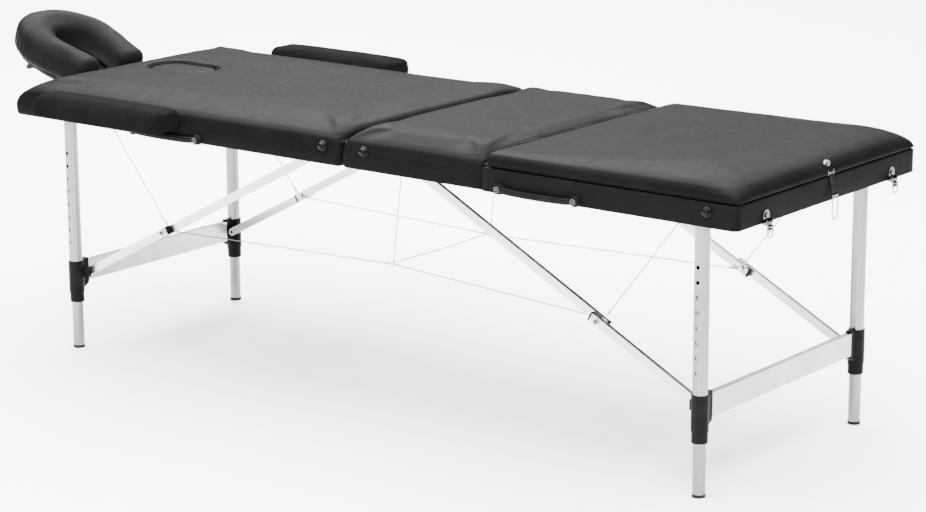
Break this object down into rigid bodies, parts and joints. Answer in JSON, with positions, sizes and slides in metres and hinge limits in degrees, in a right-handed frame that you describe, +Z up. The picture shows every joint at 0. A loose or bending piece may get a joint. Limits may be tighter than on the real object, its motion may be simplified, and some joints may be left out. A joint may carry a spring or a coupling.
{
  "type": "portable massage table",
  "caption": "Folding massage table with padded bed, lift-up foot section, telescopic legs on folding struts and cables, head cradle and arm shelves.",
  "frame": {"origin": "centre of the whole table's box, on the floor", "axes": "+X from the head end towards the foot end, +Y across to the far side, +Z up"},
  "size_m": [2.1704, 0.846, 0.7025],
  "materials": {
    "frame_vinyl": "semi-matt grained vinyl",
    "pad_vinyl": "semi-matt grained vinyl over foam",
    "ply": "bare plywood",
    "steel": "zinc plated",
    "fastener": "polished",
    "grip": "moulded, ribbed",
    "bumper": "glossy cap",
    "latch": "polished",
    "cable": "stranded wire",
    "leg_tube": "satin anodised",
    "collar": "moulded",
    "rubber": "matt",
    "black_board": "black"
  },
  "bodies": {
    "foot_half": {"foot_frame": "frame_vinyl", "mid_deck": "ply", "mid_pad": "pad_vinyl", "foot_brackets": "steel", "foot_fasteners": "fastener", "foot_handle": "grip", "foot_bumpers": "bumper", "latch_bases": "latch", "foot_cables": "cable"},
    "head_half": {"head_frame": "frame_vinyl", "head_deck": "ply", "head_pad": "pad_vinyl", "head_brackets": "steel", "head_fasteners": "fastener", "head_handle": "grip", "head_bumpers": "bumper", "latch_keepers": "latch", "accessory_sockets": "collar", "head_cables": "cable"},
    "lid": {"lid_board": "ply", "lid_pad": "pad_vinyl", "lid_fittings": "steel"},
    "prop": {"prop_stand": "steel"},
    "foot_legs": {"foot_outer_legs": "leg_tube", "foot_collars": "collar", "foot_cross_bar": "leg_tube"},
    "head_legs": {"head_outer_legs": "leg_tube", "head_collars": "collar", "head_cross_bar": "leg_tube"},
    "foot_upper_strut_pair": {"foot_upper_struts": "leg_tube"},
    "foot_lower_strut_pair": {"foot_lower_struts": "leg_tube"},
    "head_upper_strut_pair": {"head_upper_struts": "leg_tube"},
    "head_lower_strut_pair": {"head_lower_struts": "leg_tube"},
    "near_arm": {"near_arm_pad": "pad_vinyl", "near_arm_frame": "leg_tube"},
    "far_arm": {"far_arm_pad": "pad_vinyl", "far_arm_frame": "leg_tube"},
    "headrest_slider": {"headrest_frame": "leg_tube"},
    "headrest": {"headrest_platform": "black_board", "headrest_cushion": "pad_vinyl"},
    "headrest_cam": {"headrest_lever": "grip"},
    "plug": {"face_plug": "pad_vinyl"},
    "near_foot_leg": {"near_foot_inner_leg": "leg_tube", "near_foot_rubber": "rubber"},
    "near_foot_leg_button": {"near_foot_button": "fastener"},
    "far_foot_leg": {"far_foot_inner_leg": "leg_tube", "far_foot_rubber": "rubber"},
    "far_foot_leg_button": {"far_foot_button": "fastener"},
    "near_head_leg": {"near_head_inner_leg": "leg_tube", "near_head_rubber": "rubber"},
    "near_head_leg_button": {"near_head_button": "fastener"},
    "far_head_leg": {"far_head_inner_leg": "leg_tube", "far_head_rubber": "rubber"},
    "far_head_leg_button": {"far_head_button": "fastener"},
    "near_lever": {"near_latch_lever": "latch"},
    "near_loop": {"near_latch_loop": "latch"},
    "mid_lever": {"mid_latch_lever": "latch"},
    "mid_loop": {"mid_latch_loop": "latch"},
    "far_lever": {"far_latch_lever": "latch"},
    "far_loop": {"far_latch_loop": "latch"}
  },
  "joints": [
    {"name": "table_fold", "type": "hinge", "parent": "foot_half", "child": "head_half", "pos_m": [0.14284, 0, 0.525], "axis": [0, -1, 0], "range_deg": [0, 180], "deforming": ["foot_cables", "head_cables"]},
    {"name": "lid_lift", "type": "hinge", "parent": "foot_half", "child": "lid", "pos_m": [0.50284, 0, 0.598], "axis": [0, -1, 0], "range_deg": [0, 70]},
    {"name": "foot_leg_fold", "type": "hinge", "parent": "foot_half", "child": "foot_legs", "pos_m": [0.97484, 0, 0.543], "axis": [0, 1, 0], "range_deg": [0, 90]},
    {"name": "head_leg_fold", "type": "hinge", "parent": "head_half", "child": "head_legs", "pos_m": [-0.68916, 0, 0.543], "axis": [0, -1, 0], "range_deg": [0, 90]},
    {"name": "foot_upper_strut_fold", "type": "hinge", "parent": "foot_half", "child": "foot_upper_strut_pair", "pos_m": [0.20984, 0, 0.562], "axis": [0, -1, 0], "range_deg": [0, 27.6]},
    {"name": "foot_lower_strut_fold", "type": "hinge", "parent": "foot_legs", "child": "foot_lower_strut_pair", "pos_m": [0.95584, 0, 0.172], "axis": [0, 1, 0], "range_deg": [0, 68.9]},
    {"name": "head_upper_strut_fold", "type": "hinge", "parent": "head_half", "child": "head_upper_strut_pair", "pos_m": [0.07584, 0, 0.562], "axis": [0, 1, 0], "range_deg": [0, 27.6]},
    {"name": "head_lower_strut_fold", "type": "hinge", "parent": "head_legs", "child": "head_lower_strut_pair", "pos_m": [-0.67016, 0, 0.172], "axis": [0, -1, 0], "range_deg": [0, 68.9]},
    {"name": "prop_swing", "type": "hinge", "parent": "lid", "child": "prop", "pos_m": [0.74284, 0, 0.566], "axis": [0, -1, 0], "range_deg": [-140, 0]},
    {"name": "near_foot_leg_slide", "type": "slide", "parent": "foot_legs", "child": "near_foot_leg", "axis": [0, 0, 1], "range_m": [-0.0861, 0.0861]},
    {"name": "near_foot_button_press", "type": "slide", "parent": "near_foot_leg", "child": "near_foot_leg_button", "axis": [0, 1, 0], "range_m": [0, 0.005], "stiffness_N_per_m": 400},
    {"name": "far_foot_leg_slide", "type": "slide", "parent": "foot_legs", "child": "far_foot_leg", "axis": [0, 0, 1], "range_m": [-0.0861, 0.0861]},
    {"name": "far_foot_button_press", "type": "slide", "parent": "far_foot_leg", "child": "far_foot_leg_button", "axis": [0, -1, 0], "range_m": [0, 0.005], "stiffness_N_per_m": 400},
    {"name": "near_head_leg_slide", "type": "slide", "parent": "head_legs", "child": "near_head_leg", "axis": [0, 0, 1], "range_m": [-0.0861, 0.0861]},
    {"name": "near_head_button_press", "type": "slide", "parent": "near_head_leg", "child": "near_head_leg_button", "axis": [0, 1, 0], "range_m": [0, 0.005], "stiffness_N_per_m": 400},
    {"name": "far_head_leg_slide", "type": "slide", "parent": "head_legs", "child": "far_head_leg", "axis": [0, 0, 1], "range_m": [-0.0861, 0.0861]},
    {"name": "far_head_button_press", "type": "slide", "parent": "far_head_leg", "child": "far_head_leg_button", "axis": [0, -1, 0], "range_m": [0, 0.005], "stiffness_N_per_m": 400},
    {"name": "near_arm_slide", "type": "slide", "parent": "head_half", "child": "near_arm", "axis": [0, -1, 0], "range_m": [0, 0.07]},
    {"name": "far_arm_slide", "type": "slide", "parent": "head_half", "child": "far_arm", "axis": [0, 1, 0], "range_m": [0, 0.07]},
    {"name": "headrest_slide", "type": "slide", "parent": "head_half", "child": "headrest_slider", "axis": [-1, 0, 0], "range_m": [0, 0.04]},
    {"name": "headrest_tilt", "type": "hinge", "parent": "headrest_slider", "child": "headrest", "pos_m": [-0.81316, 0, 0.54], "axis": [0, 1, 0], "range_deg": [-30, 10]},
    {"name": "headrest_cam_turn", "type": "hinge", "parent": "headrest_slider", "child": "headrest_cam", "pos_m": [-0.81316, 0, 0.54], "axis": [0, 1, 0], "range_deg": [0, 40]},
    {"name": "face_plug_lift", "type": "slide", "parent": "head_half", "child": "plug", "axis": [0, 0, 1], "range_m": [0, 0.06]},
    {"name": "near_latch_turn", "type": "hinge", "parent": "foot_half", "child": "near_lever", "pos_m": [1.07884, -0.228, 0.529], "axis": [0, -1, 0], "range_deg": [0, 100]},
    {"name": "near_loop_swing", "type": "hinge", "parent": "near_lever", "child": "near_loop", "pos_m": [1.08264, -0.228, 0.521], "axis": [0, -1, 0], "range_deg": [0, 90]},
    {"name": "mid_latch_turn", "type": "hinge", "parent": "lid", "child": "mid_lever", "pos_m": [1.06984, 0, 0.58], "axis": [0, -1, 0], "range_deg": [0, 100]},
    {"name": "mid_loop_swing", "type": "hinge", "parent": "mid_lever", "child": "mid_loop", "pos_m": [1.08249, 0, 0.53873], "axis": [0, -1, 0], "range_deg": [0, 90]},
    {"name": "far_latch_turn", "type": "hinge", "parent": "foot_half", "child": "far_lever", "pos_m": [1.07884, 0.228, 0.529], "axis": [0, -1, 0], "range_deg": [0, 100]},
    {"name": "far_loop_swing", "type": "hinge", "parent": "far_lever", "child": "far_loop", "pos_m": [1.08264, 0.228, 0.521], "axis": [0, -1, 0], "range_deg": [0, 90]}
  ],
  "couplings": [
    {"joint": "foot_leg_fold", "follows": "table_fold", "ratio": 0.5},
    {"joint": "head_leg_fold", "follows": "table_fold", "ratio": 0.5},
    {"joint": "foot_upper_strut_fold", "follows": "table_fold", "ratio": 0.15333},
    {"joint": "foot_lower_strut_fold", "follows": "table_fold", "ratio": 0.38278},
    {"joint": "head_upper_strut_fold", "follows": "table_fold", "ratio": 0.15333},
    {"joint": "head_lower_strut_fold", "follows": "table_fold", "ratio": 0.38278},
    {"joint": "prop_swing", "follows": "lid_lift", "ratio": -2}
  ]
}
